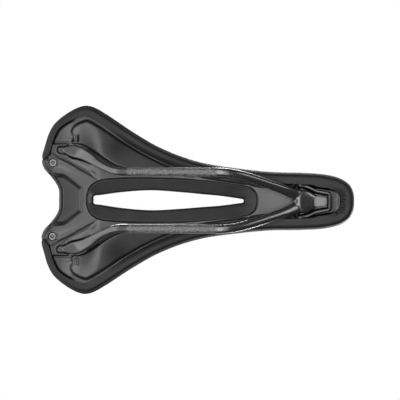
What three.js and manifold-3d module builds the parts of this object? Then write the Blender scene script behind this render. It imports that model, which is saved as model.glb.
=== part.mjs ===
// A short road-bike saddle as a bench assembly: a moulded shell, a one-piece carbon rail bonded into it, a foam pad,
// a microfibre cover wrapped round the shell's edge, a liner in the relief channel, and the small parts that hold
// an accessory at the rear and lock the rail at the nose.
// Millimetres. +X points to the nose, +Y to the rider's left, +Z up. The origin is the centre of the seatpost
// clamp: midway between the two rails, at the height of their axes.
import * as THREE from "three";
import Module from "manifold-3d";
import { ParametricGeometry } from "three/addons/geometries/ParametricGeometry.js";
import { mergeVertices } from "three/addons/utils/BufferGeometryUtils.js";

const wasm = await Module();
wasm.setup();

// Driving dimensions.
const GAP = 0.3; // clearance kept between neighbouring pieces
const CUT = 0.2; // the least clearance, cut where a piece would come closer than that
const RAIL_PITCH = 44; // centre to centre, the standard for a seatpost clamp
const RAIL_WIDTH = 7;
const RAIL_HEIGHT = 9;
const SHELL_THICK = 2.4;
const RAISED = 2.4; // how far the frame round the opening stands below the wing dishes
const COVER_THICK = 1.2;
const FOAM_DEPTH = 11; // foam over the shell beside the channel
const NOSE_FOAM_DEPTH = 8;
const EDGE_ROLL = 9; // radius of the cover's upper edge
const CHANNEL_ROLL = 5; // radius of the cover's edge at the relief channel
const LINER_THICK = 1;
const INSERT = { x: -95.6, y: 29, outer: 2.9, bore: 1.65, low: 30.9, high: 37 };
const SLOT_ROOF = 30.4; // how high the recess for each blade's tip goes
const POCKET_ROOF = 25.4; // how high the nose pocket goes
const TURNS = 76; // sections round the saddle
const SHARES = [0, 0.1, 0.21, 0.33, 0.45, 0.57, 0.68, 0.78, 0.86, 0.93, 1]; // places from the opening to the rim

// Half of the rim, from the middle of the rear edge to the tip of the nose: x, y and the height of the lower edge.
const RIM = [
  [-90.1, 0, 33],
  [-90.4, 8, 33],
  [-92.9, 13.4, 32.8],
  [-97.6, 19.4, 32.4],
  [-102, 24.6, 31.8],
  [-103.8, 29.5, 31.2],
  [-103.1, 35.5, 30.4],
  [-101.5, 43, 29.2],
  [-98.9, 51, 27.8],
  [-94.2, 59, 25.8],
  [-85, 67, 23.6],
  [-75.6, 72.2, 22],
  [-70, 73.4, 21.4],
  [-64, 72.2, 21],
  [-54.4, 67.2, 20.8],
  [-33.2, 53.4, 20.6],
  [-14.4, 42.4, 20.4],
  [4.5, 34.1, 20],
  [23.3, 28.7, 19.4],
  [46, 25.2, 18.4],
  [75, 22.4, 17.2],
  [100, 21.9, 16.4],
  [118, 20.4, 16.4],
  [130.6, 16.6, 17],
  [137.4, 10.4, 17.8],
  [140.2, 4, 18.4],
  [140.4, 0, 18.6],
];
// Half of the shell's opening and half of the narrowest part of the relief channel: x, y.
const OPENING = [
  [-66, 0],
  [-65.4, 7],
  [-61.6, 12.8],
  [-55, 15.8],
  [-42, 17.4],
  [-20, 17.8],
  [5, 17.2],
  [25, 15.6],
  [43, 13.4],
  [56, 11.4],
  [62.4, 8],
  [64.5, 3.6],
  [64.8, 0],
];
const CHANNEL = [
  [-63.6, 0],
  [-63.2, 3],
  [-59, 4.6],
  [-42, 6.6],
  [-19, 8.2],
  [4.5, 6.9],
  [23, 5.3],
  [37, 4],
  [50, 2.4],
  [55, 1.2],
  [55.8, 0],
];
const EAR = 0.112; // share of the half rim, from the rear, where the wrapped cover ends beside each ear

const { sign, abs, sqrt, PI, cos, sin, min, max, hypot, pow } = Math;
const mix = THREE.MathUtils.lerp;

// 0 at the first value and 1 at the second, eased between them.
function smooth(from, to, x) {
  const t = THREE.MathUtils.clamp((x - from) / (to - from), 0, 1);
  return t * t * (3 - 2 * t);
}

// ---- Plan curves. Each takes a turn from 0 to 1 round the saddle, starting at the rear. ----

// The closed curve through half an outline and its mirror image.
function closedCurve(points) {
  const back = points.slice(1, -1).reverse();
  const all = [...points, ...back.map(([x, y, z]) => [x, -y, z])];
  const curve = new THREE.CatmullRomCurve3(all.map(([x, y, z = 0]) => new THREE.Vector3(x, y, z)), true, "centripetal");
  curve.arcLengthDivisions = 2400;
  return curve;
}
const rimCurve = closedCurve(RIM);
const openingCurve = closedCurve(OPENING);
const channelCurve = closedCurve(CHANNEL);

// Where a section stands: closer together at the rear and at the nose.
const turnOf = (i) => i / TURNS - (0.5 * sin((4 * PI * i) / TURNS)) / (4 * PI);
// 0 at the rear and 1 at the nose, on both sides.
const along = (turn) => 1 - abs(1 - 2 * turn);

// The rim moved inwards in plan by a distance.
function insetRim(turn, distance) {
  const p = rimCurve.getPointAt(turn);
  const d = rimCurve.getTangentAt(turn);
  const flat = hypot(d.x, d.y);
  return new THREE.Vector3(p.x + (d.y / flat) * distance, p.y - (d.x / flat) * distance, p.z);
}

const opening = (turn) => openingCurve.getPointAt(turn);
const channel = (turn) => channelCurve.getPointAt(turn);

// ---- Heights. ----

// The seat surface before its edges are rolled: a shallow wave along the saddle and a crown across it.
function seat(x, y) {
  const wave = 43.4 + 4.2 * smooth(0, -100, x) - 2 * smooth(30, 100, x);
  const nose = 5 * pow(smooth(96, 160, x), 1.4);
  return wave - nose - mix(0.0018, 0.006, smooth(-60, 60, x)) * y * y;
}

// The drop of a rolled edge at a distance in from it.
const roll = (distance, radius) =>
  distance >= radius ? 0 : radius - sqrt(radius * radius - (radius - max(0, distance)) ** 2);

// 0 beside the ears, where the shell reaches the outline, and 1 where the cover is wrapped under it.
const wrapped = (turn) => smooth(EAR - 0.008, EAR + 0.008, along(turn));
const shellInset = (turn) => 2.2 * wrapped(turn);
const coverInset = (turn) => 1.4 * (1 - wrapped(turn));
const hemWidth = (turn) => {
  const s = along(turn);
  return 2.4 + 6 * smooth(EAR + 0.008, EAR + 0.06, s) + 1.8 * smooth(0.86, 0.97, s);
};

// The outboard edge of the raised frame: the rails and the rear blades run below it.
function frameEdge(x) {
  const rear = 21.5 + 22.5 * smooth(-30, -82, x);
  const waist = mix(rear, 18.6, smooth(0, 34, x));
  return mix(waist, 13, smooth(34, 66, x)) - 5 * smooth(70, 96, x);
}

// 1 inside a wing's dish and 0 on the frame, the rear plateau and the ledge at the rim.
function dish(x, y, fromRim) {
  const inboard = abs(y) - frameEdge(x);
  return smooth(0, 5, min(inboard, x + 82, fromRim - 9, 99 - x));
}

// The shell at a turn and a share of the way from the opening (0) to its edge (1): plan place, underside, top.
function shellAt(turn, share) {
  const inner = opening(turn);
  const outer = insetRim(turn, shellInset(turn));
  const x = mix(inner.x, outer.x, share);
  const y = mix(inner.y, outer.y, share);
  const span = hypot(outer.x - inner.x, outer.y - inner.y);
  const fromRim = span * (1 - share) + shellInset(turn);
  const ledge = outer.z + (COVER_THICK + GAP) * wrapped(turn);
  const foam = mix(FOAM_DEPTH, NOSE_FOAM_DEPTH, smooth(20, 90, x));
  const middle = seat(x, 0.6 * y) - COVER_THICK - foam - SHELL_THICK - 2 * GAP;
  const reach = min(1, (span * share) / (span - hemWidth(turn)));
  const sheet = mix(middle, ledge, pow(reach, mix(2.6, 5, smooth(40, 90, x))));
  return { x, y, z: sheet - RAISED * (1 - dish(x, y, fromRim)) * smooth(9, 14, fromRim), top: sheet + SHELL_THICK };
}

// ---- Solids. ----

// A closed mesh as a manifold-3d solid: only positions are kept, and triangles that have collapsed go.
function solidOf(geometry) {
  const bare = new THREE.BufferGeometry();
  const source = geometry.index ? geometry.toNonIndexed() : geometry;
  bare.setAttribute("position", source.getAttribute("position"));
  const merged = mergeVertices(bare, 1e-4);
  const kept = [];
  const index = merged.index.array;
  for (let i = 0; i < index.length; i += 3) {
    const [a, b, c] = [index[i], index[i + 1], index[i + 2]];
    if (a !== b && b !== c && c !== a) kept.push(a, b, c);
  }
  const mesh = new wasm.Mesh({
    numProp: 3,
    vertProperties: new Float32Array(merged.attributes.position.array),
    triVerts: new Uint32Array(kept),
  });
  return new wasm.Manifold(mesh);
}

function geometryOf(solid) {
  const mesh = solid.getMesh();
  const geometry = new THREE.BufferGeometry();
  const positions = new Float32Array(mesh.numVert * 3);
  for (let i = 0; i < mesh.numVert; i++) {
    positions.set(mesh.vertProperties.subarray(i * mesh.numProp, i * mesh.numProp + 3), i * 3);
  }
  geometry.setAttribute("position", new THREE.BufferAttribute(positions, 3));
  geometry.setIndex(new THREE.BufferAttribute(mesh.triVerts, 1));
  geometry.computeVertexNormals();
  return geometry;
}

// The largest body of a solid, so that a cut leaves no crumbs.
const largest = (solid) => solid.decompose().sort((a, b) => b.volume() - a.volume())[0];

// A ring-shaped solid: section(turn) gives the points of a closed section, going up on the inner side.
function ring(section) {
  const rows = Array.from({ length: TURNS }, (_, i) => section(turnOf(i)));
  const count = rows[0].length;
  const at = (u, v, target) => {
    target.copy(rows[Math.round(u * TURNS) % TURNS][Math.round(v * count) % count]);
  };
  return solidOf(new ParametricGeometry(at, TURNS, count));
}

// A prism standing on a plan outline, between two heights.
function prism(points, low, high) {
  const shape = new THREE.Shape(points.map(([x, y]) => new THREE.Vector2(x, y)));
  const geometry = new THREE.ExtrudeGeometry(shape, { depth: high - low, bevelEnabled: false });
  return solidOf(geometry.translate(0, 0, low));
}

const mirrored = (points) => points.map(([x, y]) => [x, -y]).reverse();

function cylinder(radius, low, high, x, y) {
  const geometry = new THREE.CylinderGeometry(radius, radius, high - low, 24);
  return solidOf(geometry.rotateX(PI / 2).translate(x, y, (low + high) / 2));
}

// ---- The one-piece carbon rail. ----

// Left-hand side: x, y, z of the axis, then the section's width and height.
const half = RAIL_PITCH / 2;
const RAIL = [
  [-90.2, 39.2, 28.6, 3.6, 2.4],
  [-86, 38.9, 28.3, 5.8, 3],
  [-80, 38, 27.2, 9.2, 4],
  [-73, 36.6, 24.8, 10.8, 5],
  [-65.5, 33.2, 20.2, 10.8, 6],
  [-58, 29.4, 14.2, 9.4, 7],
  [-50, 25.4, 7.4, 7.8, 8.4],
  [-42, half + 0.7, 1.8, RAIL_WIDTH, RAIL_HEIGHT],
  [-35, half, 0, RAIL_WIDTH, RAIL_HEIGHT],
  [-24, half, 0, RAIL_WIDTH, RAIL_HEIGHT],
  [22, half, 0, RAIL_WIDTH, RAIL_HEIGHT],
  [34, half, 0, RAIL_WIDTH, RAIL_HEIGHT],
  [42, 21.6, 0.7, RAIL_WIDTH, RAIL_HEIGHT],
  [52, 19.2, 3.4, 7.2, RAIL_HEIGHT],
  [66, 14.6, 8, 7.4, 8.6],
  [80, 9.8, 12.8, 8, 8],
  [92, 5.6, 16.8, 9, 7.2],
  [99, 4.2, 18.8, 9, 6.4],
];
// The tongue that both arms run into: x, z, width and height.
const TONGUE = [
  [90.8, 16.8, 17, 5.4],
  [96, 18.4, 19.4, 6.4],
  [102.5, 19.9, 18.8, 6.2],
  [107.5, 20.9, 14.6, 5.6],
  [111, 21.5, 9.6, 5],
  [119.6, 22.4, 7.6, 4.2],
];

// Stations along a table of [x, y, z, width, height], a few to each stretch.
function stations(table, each) {
  const steps = each * (table.length - 1);
  const path = new THREE.CatmullRomCurve3(table.map(([x, y, z]) => new THREE.Vector3(x, y, z)));
  const sizes = new THREE.CatmullRomCurve3(table.map(([, , , w, h]) => new THREE.Vector3(w, h, 0)));
  path.curveType = "catmullrom";
  sizes.curveType = "catmullrom";
  return Array.from({ length: steps + 1 }, (_, i) => {
    const size = sizes.getPoint(i / steps);
    return { point: path.getPoint(i / steps), width: size.x, height: size.y };
  });
}

// A rounded section with a flat facet at its top and bottom, swept along stations.
function swept(path, grow) {
  const sides = 12;
  const last = path.length - 1;
  const power = (c) => sign(c) * pow(abs(c), 0.8);
  const at = (u, v, target) => {
    const row = Math.round(u * (last + 2));
    const i = min(last, max(0, row - 1));
    const { point, width, height } = path[i];
    const ahead = path[min(last, i + 1)].point.clone().sub(path[max(0, i - 1)].point).normalize();
    const across = new THREE.Vector3(-ahead.y, ahead.x, 0).normalize();
    const up = ahead.clone().cross(across).normalize();
    const angle = 2 * PI * v - PI / 2 + PI / sides;
    const past = i === 0 ? -grow : i === last ? grow : 0;
    target.copy(point).addScaledVector(ahead, past);
    if (row === 0 || row === last + 2) return;
    target.addScaledVector(across, (width / 2 + grow) * power(cos(angle)));
    target.addScaledVector(up, (height / 2 + grow) * power(sin(angle)));
  };
  return solidOf(new ParametricGeometry((u, v, target) => at(1 - u, v, target), last + 2, sides));
}

function rail(grow) {
  const left = swept(stations(RAIL, 2), grow);
  const right = swept(stations(RAIL.map(([x, y, ...rest]) => [x, -y, ...rest]), 2), grow);
  const tongue = TONGUE.map(([x, z, w, h]) => [x, 0, z, w, h]);
  return left.add(right).add(swept(stations(tongue, 2), grow));
}

// ---- The moulded shell. ----

function shellSheet(grow) {
  const last = SHARES.length - 1;
  return ring((turn) => {
    const row = SHARES.map((s) => shellAt(turn, s));
    const out = insetRim(turn, 0).sub(opening(turn)).setZ(0).normalize().multiplyScalar(grow);
    const move = (i) => (i === 0 ? -1 : i === last ? 1 : 0);
    const place = (p, i, z) => new THREE.Vector3(p.x + out.x * move(i), p.y + out.y * move(i), z);
    const lower = row.map((p, i) => place(p, i, p.z - grow));
    const upper = row.map((p, i) => place(p, i, p.top + grow));
    return [...lower.reverse(), ...upper];
  });
}

// The block under the nose that the rail's tongue plugs into, and its pocket.
const NOSE_BLOCK = [
  [99, -13],
  [105.5, -11],
  [111.5, -9.2],
  [125, -8.4],
  [129.6, -7],
  [129.6, 7],
  [125, 8.4],
  [111.5, 9.2],
  [105.5, 11],
  [99, 13],
];
const NOSE_POCKET = [
  [92, -13],
  [104.6, -10],
  [110.6, -6.9],
  [121, -5],
  [121, 5],
  [110.6, 6.9],
  [104.6, 10],
  [92, 13],
];
// The recess between the ears, for a clip-on accessory.
const CLIP_RECESS = [
  [-96, -17.4],
  [-88, -17],
  [-75, -6.4],
  [-75, 6.4],
  [-88, 17],
  [-96, 17.4],
];
// The recess for the tip of the left-hand blade.
const REAR_SLOT = [
  [-91.8, 36.6],
  [-87, 35],
  [-80, 31.6],
  [-68, 27],
  [-68, 41],
  [-75, 44],
  [-87, 42.8],
  [-91.8, 41.2],
];

const noseBlock = (grow) => {
  const grown = NOSE_BLOCK.map(([x, y]) => [x + grow * sign(x - 115), y + grow * sign(y)]);
  return prism(grown, 19.4 - grow, 26.6 + grow);
};

function shell() {
  const pocket = prism(NOSE_POCKET, 10, POCKET_ROOF);
  const recess = prism(CLIP_RECESS, 20, 32.4);
  let solid = shellSheet(0).add(noseBlock(0)).subtract(pocket).subtract(recess);
  for (const slot of [REAR_SLOT, mirrored(REAR_SLOT)]) {
    solid = solid.subtract(prism(slot, 18, SLOT_ROOF));
  }
  for (const y of [INSERT.y, -INSERT.y]) {
    solid = solid.subtract(cylinder(INSERT.outer + GAP, 20, 60, INSERT.x, y));
  }
  return largest(solid.subtract(rail(GAP)).subtract(cover(CUT)));
}

// ---- The soft parts. ----

// The cover's outer face moved in by a depth: over the seat from the channel to the rim, and down the side.
function overSeat(turn, depth) {
  const inner = channel(turn);
  const outer = insetRim(turn, coverInset(turn));
  const span = hypot(outer.x - inner.x, outer.y - inner.y);
  const froms = [0, 0.7, 2.2, CHANNEL_ROLL, 0.33 * span, 0.52 * span, 0.72 * span, span - 9, span - 5, span - 2, span];
  return froms.map((from) => {
    const held = THREE.MathUtils.clamp(from, depth, span - depth) / span;
    const x = mix(inner.x, outer.x, held);
    const y = mix(inner.y, outer.y, held);
    const drop = roll(held * span - depth, CHANNEL_ROLL - depth) + roll(span - held * span - depth, EDGE_ROLL - depth);
    return new THREE.Vector3(x, y, seat(inner.x + (outer.x - inner.x) * held, y) - depth - drop);
  });
}

// The turned part: down the side, round the shell's edge and inwards under it.
function underEdge(turn, depth, longer) {
  const w = wrapped(turn);
  const inset = coverInset(turn);
  const rim = insetRim(turn, 0);
  const low = rim.z + mix(SHELL_THICK + GAP, 0, w);
  const at = (distance, z) => insetRim(turn, distance).setZ(z);
  return [
    at(inset + depth, low + max(depth, 1.6)),
    at(inset + max(depth, 1.2), low + depth),
    at(inset + hemWidth(turn) + longer, low + depth),
  ];
}

function cover(grow) {
  return ring((turn) => {
    const outside = [...overSeat(turn, -grow), ...underEdge(turn, -grow, grow)];
    const inside = [...overSeat(turn, COVER_THICK + grow), ...underEdge(turn, COVER_THICK + grow, grow)];
    return [...inside.reverse(), ...outside];
  });
}

// The foam between the cover and the shell, down to the liner round the channel.
function foam() {
  const solid = ring((turn) => {
    const w = wrapped(turn);
    const rest = [...SHARES.slice(1, -1).reverse(), 0.04].map((s) => {
      const p = shellAt(turn, s);
      const rim = insetRim(turn, 0);
      const flange = (1 - w) * smooth(10, 6, hypot(rim.x - p.x, rim.y - p.y)) * (COVER_THICK + GAP);
      return new THREE.Vector3(p.x, p.y, p.top + GAP + flange);
    });
    const edge = insetRim(turn, coverInset(turn) + COVER_THICK + GAP);
    edge.z = shellAt(turn, 1).top + GAP + (1 - w) * (COVER_THICK + GAP);
    const wall = linerPath(turn, LINER_THICK + GAP).slice(1);
    return [edge, ...rest, ...wall, ...overSeat(turn, COVER_THICK + GAP)];
  });
  const holes = [INSERT.y, -INSERT.y].map((y) => cylinder(INSERT.outer + GAP, 25, INSERT.high + GAP, INSERT.x, y));
  const others = [...holes, noseBlock(GAP), cover(CUT), liner(CUT), shellSheet(CUT)];
  return largest(others.reduce((left, other) => left.subtract(other), solid));
}

// One face of the liner, from the shell's opening up to the narrowest part of the channel.
function linerPath(turn, depth) {
  const low = opening(turn);
  const high = channel(turn);
  const base = shellAt(turn, 0);
  const inward = high.clone().sub(low).setZ(0).normalize();
  const start = low.clone().addScaledVector(inward, GAP + LINER_THICK - depth).setZ(base.z + 0.3);
  const knee = start.clone().addScaledVector(inward, 0.3).setZ(base.top + 1);
  const end = high.clone().addScaledVector(inward, -depth).setZ(seat(high.x, high.y) - CHANNEL_ROLL - GAP);
  const middle = knee.clone().lerp(end, 0.5).addScaledVector(inward, 0.6);
  return [start, knee, middle, end];
}

const liner = (grow) =>
  ring((turn) => [...linerPath(turn, -grow), ...linerPath(turn, LINER_THICK + grow).reverse()]);


// ---- Small parts. ----

// A threaded brass insert, with its bore open at the bottom.
function insert(y) {
  const body = cylinder(INSERT.outer, INSERT.low, INSERT.high, INSERT.x, y);
  return body.subtract(cylinder(INSERT.bore, INSERT.low - 1, INSERT.high - 1.2, INSERT.x, y));
}

// A bed of adhesive between a blade and the roof of its recess.
const BED = [
  [-89.6, 38.2],
  [-85, 36.8],
  [-78, 35.4],
  [-75, 35.2],
  [-75, 39.4],
  [-78, 40.6],
  [-85, 40.8],
  [-89.6, 40.2],
];
function bed(points) {
  return largest(prism(points, 27, SLOT_ROOF - GAP).subtract(rail(GAP)).subtract(prism(points, 10, 28.6)));
}

// The adhesive over the tongue's tip in the nose pocket, and the light wedge under it that keeps it in.
const POTTING = [
  [111, -4.9],
  [120.4, -4.4],
  [120.4, 4.4],
  [111, 4.9],
];
const WEDGE = [
  [109.4, -4.8],
  [119.6, -3.6],
  [119.6, 3.6],
  [109.4, 4.8],
];
const potting = () => largest(prism(POTTING, 22, POCKET_ROOF - GAP).subtract(rail(GAP)).subtract(prism(POTTING, 10, 24)));
const wedge = () => largest(prism(WEDGE, 17.6, 24).subtract(rail(GAP)).subtract(prism(NOSE_BLOCK, 22.4, 40)));

// ---- The assembly. ----

const LOOKS = {
  shell: ["#4a4a4b", 0.42, 0],
  carbon: ["#2b2b2c", 0.3, 0],
  foam: ["#3a3a3c", 0.95, 0],
  microfibre: ["#252526", 0.7, 0],
  liner: ["#2c2c2d", 0.8, 0],
  insert: ["#b9bbbd", 0.3, 1],
  adhesive: ["#161616", 0.6, 0],
  wedge: ["#8d8f90", 0.45, 0],
};

function part(name, solid, look) {
  const [color, roughness, metalness] = LOOKS[look];
  const material = new THREE.MeshStandardMaterial({ name: look, color, roughness, metalness });
  const mesh = new THREE.Mesh(geometryOf(solid), material);
  mesh.name = name;
  return mesh;
}

const saddle = new THREE.Group();
saddle.name = "saddle";
saddle.add(
  part("shell", shell(), "shell"),
  part("carbon_rail", rail(0), "carbon"),
  part("foam_pad", foam(), "foam"),
  part("cover", cover(0), "microfibre"),
  part("channel_liner", liner(0), "liner"),
  part("insert_left", insert(INSERT.y), "insert"),
  part("insert_right", insert(-INSERT.y), "insert"),
  part("blade_bond_left", bed(BED), "adhesive"),
  part("blade_bond_right", bed(mirrored(BED)), "adhesive"),
  part("nose_bond", potting(), "adhesive"),
  part("nose_wedge", wedge(), "wedge"),
);

export default saddle;
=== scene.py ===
import math

import bpy
import numpy as np
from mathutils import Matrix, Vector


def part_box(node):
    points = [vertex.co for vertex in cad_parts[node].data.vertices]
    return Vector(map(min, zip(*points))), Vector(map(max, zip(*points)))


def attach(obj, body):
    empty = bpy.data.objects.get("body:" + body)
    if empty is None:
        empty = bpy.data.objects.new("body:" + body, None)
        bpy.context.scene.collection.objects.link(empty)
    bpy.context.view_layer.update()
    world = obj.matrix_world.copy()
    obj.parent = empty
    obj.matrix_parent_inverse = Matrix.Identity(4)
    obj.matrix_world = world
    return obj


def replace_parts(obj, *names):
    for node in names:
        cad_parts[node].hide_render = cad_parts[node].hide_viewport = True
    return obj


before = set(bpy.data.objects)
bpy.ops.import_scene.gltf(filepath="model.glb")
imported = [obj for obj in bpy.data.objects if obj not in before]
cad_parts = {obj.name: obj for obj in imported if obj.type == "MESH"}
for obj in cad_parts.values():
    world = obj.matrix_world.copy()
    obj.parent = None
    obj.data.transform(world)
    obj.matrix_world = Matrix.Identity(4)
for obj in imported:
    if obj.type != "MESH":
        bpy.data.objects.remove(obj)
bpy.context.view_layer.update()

# ---- Camera ----
# It looks straight up at the underside of the saddle, with the nose to the right, from a little over a metre away.
camera = bpy.data.objects.new("camera", bpy.data.cameras.new("camera"))
bpy.context.scene.collection.objects.link(camera)
bpy.context.scene.camera = camera
camera.data.sensor_width = 36
camera.data.lens = 134.1
camera.location = (0.0202, -0.0005, -1.15)
camera.rotation_euler = (math.pi, 0, math.radians(-0.42))
bpy.context.scene.view_settings.view_transform = "Standard"

# ---- Shell ----
# The injection-moulded nylon base: a raised frame round the long opening carries the rail, and a dish hangs under
# each wing. A recess between the ears takes an accessory, and a block under the nose takes the rail's tongue.
# Everything below is worked out in millimetres, and every mesh is made in metres.
RIM = [
    (-91.9, 0, 33), (-92.2, 8, 33), (-94.7, 13.4, 32.8), (-99.3, 19.4, 32.4), (-103.6, 24.6, 31.8),
    (-105.2, 29.5, 31.2), (-104.4, 35.5, 30.4), (-102.2, 43, 29.4), (-99.6, 51, 28.2), (-95.1, 59, 26.6),
    (-85.6, 67, 24.8), (-75.8, 72.2, 23.6), (-70, 73.4, 23.2), (-64, 72, 22.8), (-54.4, 66.6, 22.4),
    (-33.2, 52.7, 21.8), (-14.4, 41.9, 21.2), (4.5, 34, 20.4), (23.3, 28.7, 19.4), (46, 25.2, 18.4),
    (75, 22.2, 17.2), (100, 21.6, 16.6), (118, 20.4, 16.6), (130.6, 17.2, 16.8), (137.6, 12.2, 17),
    (140.4, 5.6, 17.2), (140.8, 0, 17.2),
]
OPENING = [
    (-69.6, 0, 0), (-69.1, 5.2, 0), (-67, 10.2, 0), (-63, 13.8, 0), (-57, 15.9, 0), (-42, 17.2, 0), (-20, 17.6, 0),
    (5, 17.2, 0), (25, 15.9, 0), (43, 13.8, 0), (55, 12, 0), (60, 10.5, 0), (63.8, 6.8, 0), (65.2, 3.2, 0),
    (65.4, 0, 0),
]
CHANNEL = [
    (-65.9, 0, 0), (-65.8, 3, 0), (-64.4, 4.2, 0), (-59, 5, 0), (-42, 7.4, 0), (-19, 9, 0), (4.5, 7.7, 0), (23, 6.1, 0),
    (37, 4.9, 0), (50, 3.1, 0), (54.6, 2.3, 0), (55.9, 1.3, 0), (56, 0, 0),
]
EAR = 0.112  # share of the way round at which the ears end
SHELL_THICK = 2.4
COVER_THICK = 1.2
FRAME_HEIGHT = 2.4
LEDGE_INSET = 2.2  # from the rim in to the ledge that the hem is glued to
LEDGE_STEP = 1.5
INSERT_AT = (-96.7, 29.2)


def ease(low, high, x):
    """0 at low and 1 at high, by the cubic 3t^2 - 2t^3 of the share t of the way between them."""
    t = np.clip((x - low) / (high - low), 0, 1)
    return t * t * (3 - 2 * t)


def bell(x, middle, width):
    """A smooth bump: e to the minus square of the distance from the middle in widths."""
    return np.exp(-(((x - middle) / width) ** 2))


def turns_of(count):
    """Shares of a lap at which sections stand: i/n less a sine, so they crowd together at the rear and the nose."""
    i = np.arange(count) / count
    return i - 0.5 * np.sin(4 * np.pi * i) / (4 * np.pi)


def outline(half, turn):
    """Points and unit directions of a closed curve at shares of its length. The curve passes through the half
    outline and its mirror image; each stretch is a Hermite cubic with centripetal Catmull-Rom tangents."""
    half = np.array(half, float)
    p1 = np.vstack([half, half[-2:0:-1] * [1, -1, 1]])
    p0, p2, p3 = (np.roll(p1, s, axis=0) for s in (1, -1, -2))
    d1, d2, d3 = (np.sqrt(np.linalg.norm(b - a, axis=1))[:, None] for a, b in ((p0, p1), (p1, p2), (p2, p3)))
    m1 = d2 * ((p1 - p0) / d1 - (p2 - p0) / (d1 + d2) + (p2 - p1) / d2)
    m2 = d2 * ((p2 - p1) / d2 - (p3 - p1) / (d2 + d3) + (p3 - p2) / d3)
    t = (np.arange(48) / 48)[:, None, None]
    fine = (2 * t**3 - 3 * t**2 + 1) * p1 + (t**3 - 2 * t**2 + t) * m1 + (3 * t**2 - 2 * t**3) * p2 + (t**3 - t**2) * m2
    fine = fine.transpose(1, 0, 2).reshape(-1, 3)
    fine = np.vstack([fine, fine[:1]])
    length = np.concatenate([[0], np.cumsum(np.linalg.norm(np.diff(fine, axis=0), axis=1))])
    at = lambda u: np.stack([np.interp((u % 1) * length[-1], length, fine[:, k]) for k in range(3)], axis=-1)
    way = at(turn + 1e-3) - at(turn - 1e-3)
    return at(turn), way / np.linalg.norm(way[..., :2], axis=-1, keepdims=True)


def inset_rim(turn, distance):
    """The rim moved inwards in plan, square to itself, by a distance."""
    p, way = outline(RIM, turn)
    return p + np.stack([way[..., 1] * distance, -way[..., 0] * distance, 0 * p[..., 2]], axis=-1)


def seat(x, y):
    """Height of the seat before its edges are rolled: a shallow wave along it, less a crown in y squared."""
    wave = 43.4 + 4.2 * ease(0, -100, x) - 2 * ease(30, 100, x) - 5 * ease(96, 160, x) ** 1.4
    return wave - (0.0018 + 0.0042 * ease(-60, 60, x)) * y * y


def lap_share(turn):
    """0 at the rear and 1 at the nose, on both sides."""
    return 1 - np.abs(1 - 2 * turn)


def wrapped(turn):
    """0 beside the ears, where the shell reaches the outline, and 1 where the cover is wrapped under it."""
    return ease(EAR - 0.006, EAR + 0.006, lap_share(turn))


def hem_rise(turn):
    """How far the hem's inner end stands up from its fold along the waist."""
    s = lap_share(turn)
    return 1.9 * ease(0.34, 0.42, s) * ease(0.72, 0.62, s) + 1.8 * ease(0.9, 0.945, s)


def hem_width(turn):
    """Width of the cover's band under the shell: narrow behind the wings, wider along them, widest at the nose."""
    s = lap_share(turn)
    return 2.6 + 1.9 * ease(EAR, EAR + 0.02, s) + 3.6 * ease(EAR + 0.08, EAR + 0.2, s) + 2 * ease(0.84, 0.95, s)


def within(x, y, corners):
    """How far a plan point is inside a closed polygon, and minus how far it is outside."""
    corners = np.array(corners, float)
    inside, nearest = np.zeros(x.shape, bool), np.full(x.shape, 1e9)
    for (ax, ay), (bx, by) in zip(corners, np.roll(corners, -1, axis=0)):
        t = np.clip(((x - ax) * (bx - ax) + (y - ay) * (by - ay)) / ((bx - ax) ** 2 + (by - ay) ** 2), 0, 1)
        nearest = np.minimum(nearest, np.hypot(x - ax - t * (bx - ax), y - ay - t * (by - ay)))
        crosses = (ay > y) != (by > y)
        inside ^= crosses & (x < ax + (y - ay) * (bx - ax) / (by - ay if by != ay else 1))
    return np.where(inside, nearest, -nearest)


DISH_REAR = [
    (-80.6, 0), (-80.6, 44.8), (-79.8, 48.9), (-82.3, 53.7), (-80.4, 57.6), (-76, 60.6), (-69, 63.2), (-62, 70),
    (-40, 80), (40, 80), (40, 0),
]


def dish_inboard(x, away):
    """How far a point is outboard of the frame's edge beside the rail. The edge runs straight beside the opening,
    swings out round the blade by an eased step, and closes on the nose."""
    swing = ease(-38, -79, x)
    edge = 25.7 + 18.8 * swing - 16.5 * ease(0, 100, x) ** 1.3
    return (away - edge) / np.sqrt(1 + (1.2 * swing * (1 - swing) * 2) ** 2)


def sheet_height(turn, share):
    """The shell's plain underside between the opening (share 0) and its edge (share 1): it hangs under the seat by
    the foam's depth, is pressed up into the foam beside each blade, and dips to the ledge at the rim by a power of
    the way there."""
    inner, _ = outline(OPENING, turn)
    outer = inset_rim(turn, LEDGE_INSET * wrapped(turn))
    x = inner[..., 0] + (outer[..., 0] - inner[..., 0]) * share
    y = inner[..., 1] + (outer[..., 1] - inner[..., 1]) * share
    span = np.hypot(outer[..., 0] - inner[..., 0], outer[..., 1] - inner[..., 1])
    from_rim = span * (1 - share) + LEDGE_INSET * wrapped(turn)
    foam = 12 - 4 * ease(20, 90, x)
    middle = seat(x, 0.6 * y) - COVER_THICK - foam - SHELL_THICK - 0.6
    ledge = outer[..., 2] + LEDGE_STEP * wrapped(turn) + hem_rise(turn)
    reach = np.clip(span * share / (span - hem_width(turn)), 0, 1) ** (2.8 + 2.2 * ease(40, 90, x))
    inboard = dish_inboard(x, np.abs(y))
    pressed = 4.2 * ease(-3, 0.4, inboard) * ease(34, 2, inboard) * ease(-79, -57, x) * ease(14, -56, x)
    return x, y, middle + (ledge - middle) * reach + pressed, from_rim, span * share


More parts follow.
